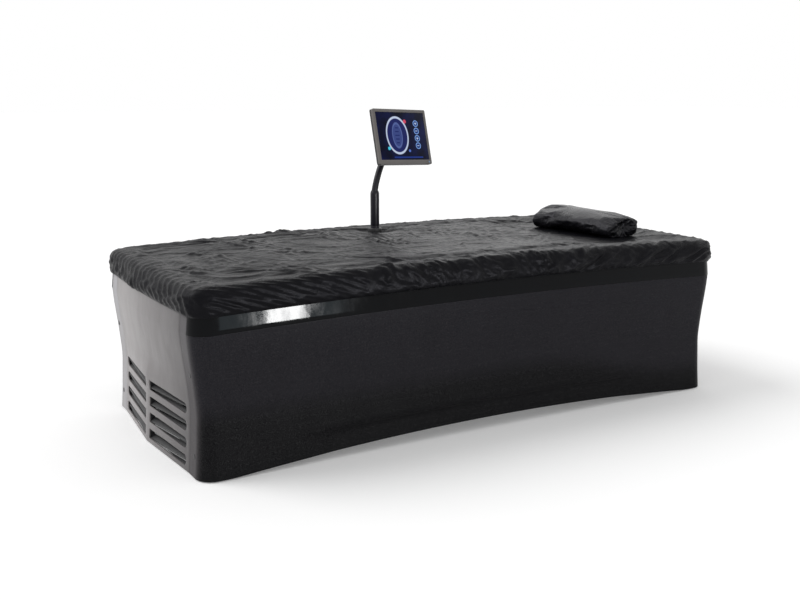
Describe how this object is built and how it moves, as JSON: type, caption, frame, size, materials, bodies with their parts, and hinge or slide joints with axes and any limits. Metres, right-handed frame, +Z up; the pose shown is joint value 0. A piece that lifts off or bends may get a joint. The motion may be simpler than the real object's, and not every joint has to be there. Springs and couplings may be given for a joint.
{
  "type": "hydromassage bed",
  "caption": "Dry water-massage bed: panelled body with louvred prow-shaped foot end, fitted cover on a water membrane, jet carriage inside, bolster pillow and touch screen on a swivel arm.",
  "frame": {"origin": "on the floor under the middle of the bed", "axes": "+X towards the head end with the pillow, -X the louvred foot end, -Y the side facing the picture, +Z up"},
  "size_m": [2.2774, 1.0416, 1.1614],
  "materials": {
    "charcoal_panel": "satin moulded",
    "warm_grey_end": "satin moulded",
    "gloss_black_band": "high gloss",
    "black_plastic": "matt",
    "screw_cap_black": "black painted",
    "frame_steel": "powder coated",
    "zinc_steel": "zinc plated",
    "stainless": "brushed",
    "foot_rubber": "matt",
    "tank_white": "moulded",
    "membrane_blue": "smooth rubber",
    "border_vinyl": "foam under vinyl",
    "cover_nylon": "coated nylon",
    "pillow_nylon": "coated nylon over fibre",
    "jet_white": "moulded",
    "belt_rubber": "matt",
    "hose_grey": "matt",
    "core_aluminium": "finned",
    "motor_enamel": "enamel",
    "arm_black": "satin black",
    "bezel_grey": "satin",
    "housing_black": "matt",
    "screen_glass": "glossy display",
    "button_blue": "satin"
  },
  "bodies": {
    "bed": {"arm_socket": "black_plastic", "base_frame": "frame_steel", "carriage_rail_front": "stainless", "carriage_rail_rear": "stainless", "circulation_pump": "motor_enamel", "control_box": "zinc_steel", "drive_belt": "belt_rubber", "end_panel_foot": "warm_grey_end", "end_panel_head": "warm_grey_end", "equipment_tray": "zinc_steel", "fan_shroud": "black_plastic", "feed_hose": "hose_grey", "fitted_cover": "cover_nylon", "heat_exchanger": "core_aluminium", "idler_axle": "stainless", "levelling_foot_foot_front": "foot_rubber", "levelling_foot_foot_rear": "foot_rubber", "levelling_foot_head_front": "foot_rubber", "levelling_foot_head_rear": "foot_rubber", "louvre_blades_front": "black_plastic", "louvre_blades_rear": "black_plastic", "padded_border": "border_vinyl", "panel_screw_foot_front_lower": "screw_cap_black", "panel_screw_foot_front_upper": "screw_cap_black", "panel_screw_foot_rear_lower": "screw_cap_black", "panel_screw_foot_rear_upper": "screw_cap_black", "panel_screw_head_front_lower": "screw_cap_black", "panel_screw_head_front_upper": "screw_cap_black", "panel_screw_head_rear_lower": "screw_cap_black", "panel_screw_head_rear_upper": "screw_cap_black", "pressure_pipe": "hose_grey", "rim_band_front": "gloss_black_band", "rim_band_rear": "gloss_black_band", "side_panel_front": "charcoal_panel", "side_panel_rear": "charcoal_panel", "suction_pipe": "hose_grey", "travel_motor": "motor_enamel", "water_membrane": "membrane_blue", "water_tank": "tank_white"},
    "pillow": {"pillow": "pillow_nylon"},
    "carriage": {"jet_carriage": "stainless"},
    "wheel_foot_front": {"carriage_wheel_foot_front": "black_plastic"},
    "wheel_foot_rear": {"carriage_wheel_foot_rear": "black_plastic"},
    "wheel_head_front": {"carriage_wheel_head_front": "black_plastic"},
    "wheel_head_rear": {"carriage_wheel_head_rear": "black_plastic"},
    "jet_front": {"jet_arm_front": "jet_white"},
    "jet_rear": {"jet_arm_rear": "jet_white"},
    "pulley_drive": {"drive_pulley": "black_plastic"},
    "pulley_idler": {"idler_pulley": "black_plastic"},
    "fan_front": {"cooling_fan_front": "black_plastic"},
    "fan_rear": {"cooling_fan_rear": "black_plastic"},
    "arm": {"arm_post": "arm_black", "arm_tube": "arm_black"},
    "yoke": {"screen_yoke": "arm_black"},
    "screen": {"screen_bracket": "arm_black", "screen_housing": "housing_black", "screen_bezel": "bezel_grey", "screen_glass": "screen_glass"},
    "button": {"power_button": "button_blue"}
  },
  "joints": [
    {"name": "pillow_lift", "type": "slide", "parent": "bed", "child": "pillow", "axis": [0, 0, 1], "range_m": [0, 0.3]},
    {"name": "carriage_travel", "type": "slide", "parent": "bed", "child": "carriage", "axis": [1, 0, 0], "range_m": [-0.55, 0.55], "deforming": ["feed_hose"]},
    {"name": "wheel_foot_front_spin", "type": "hinge", "parent": "carriage", "child": "wheel_foot_front", "pos_m": [-0.105, -0.21, 0.4301], "axis": [0, 1, 0], "continuous": true},
    {"name": "wheel_foot_rear_spin", "type": "hinge", "parent": "carriage", "child": "wheel_foot_rear", "pos_m": [-0.105, 0.21, 0.4301], "axis": [0, 1, 0], "continuous": true},
    {"name": "wheel_head_front_spin", "type": "hinge", "parent": "carriage", "child": "wheel_head_front", "pos_m": [0.105, -0.21, 0.4301], "axis": [0, 1, 0], "continuous": true},
    {"name": "wheel_head_rear_spin", "type": "hinge", "parent": "carriage", "child": "wheel_head_rear", "pos_m": [0.105, 0.21, 0.4301], "axis": [0, 1, 0], "continuous": true},
    {"name": "jet_front_spin", "type": "hinge", "parent": "carriage", "child": "jet_front", "pos_m": [0, -0.105, 0.4641], "axis": [0, 0, 1], "continuous": true},
    {"name": "jet_rear_spin", "type": "hinge", "parent": "carriage", "child": "jet_rear", "pos_m": [0, 0.105, 0.4641], "axis": [0, 0, 1], "continuous": true},
    {"name": "pulley_drive_spin", "type": "hinge", "parent": "bed", "child": "pulley_drive", "pos_m": [0.79, 0, 0.352], "axis": [0, 0, 1], "continuous": true},
    {"name": "pulley_idler_spin", "type": "hinge", "parent": "bed", "child": "pulley_idler", "pos_m": [-0.79, 0, 0.352], "axis": [0, 0, 1], "continuous": true},
    {"name": "fan_front_spin", "type": "hinge", "parent": "bed", "child": "fan_front", "pos_m": [-1.018, -0.18, 0.198], "axis": [1, 0, 0], "continuous": true},
    {"name": "fan_rear_spin", "type": "hinge", "parent": "bed", "child": "fan_rear", "pos_m": [-1.018, 0.18, 0.198], "axis": [1, 0, 0], "continuous": true},
    {"name": "arm_swivel", "type": "hinge", "parent": "bed", "child": "arm", "pos_m": [-0.01, 0.36, 0.6], "axis": [0, 0, 1], "range_deg": [-90, 90]},
    {"name": "screen_pan", "type": "hinge", "parent": "arm", "child": "yoke", "pos_m": [0.08162, 0.40198, 1.02564], "axis": [0, 0, 1], "range_deg": [-25, 60]},
    {"name": "screen_tilt", "type": "hinge", "parent": "yoke", "child": "screen", "pos_m": [0.08828, 0.36864, 1.02564], "axis": [0.9806, 0.196, 0], "range_deg": [-20, 15]},
    {"name": "power_button_press", "type": "slide", "parent": "screen", "child": "button", "axis": [-0.189, 0.9459, -0.2639], "range_m": [0, 0.001], "stiffness_N_per_m": 400}
  ],
  "couplings": [
    {"joint": "wheel_foot_front_spin", "follows": "carriage_travel", "rad_per_m": 50.505},
    {"joint": "wheel_foot_rear_spin", "follows": "carriage_travel", "rad_per_m": 50.505},
    {"joint": "wheel_head_front_spin", "follows": "carriage_travel", "rad_per_m": 50.505},
    {"joint": "wheel_head_rear_spin", "follows": "carriage_travel", "rad_per_m": 50.505},
    {"joint": "pulley_drive_spin", "follows": "carriage_travel", "rad_per_m": 42.919},
    {"joint": "pulley_idler_spin", "follows": "carriage_travel", "rad_per_m": 42.919}
  ]
}
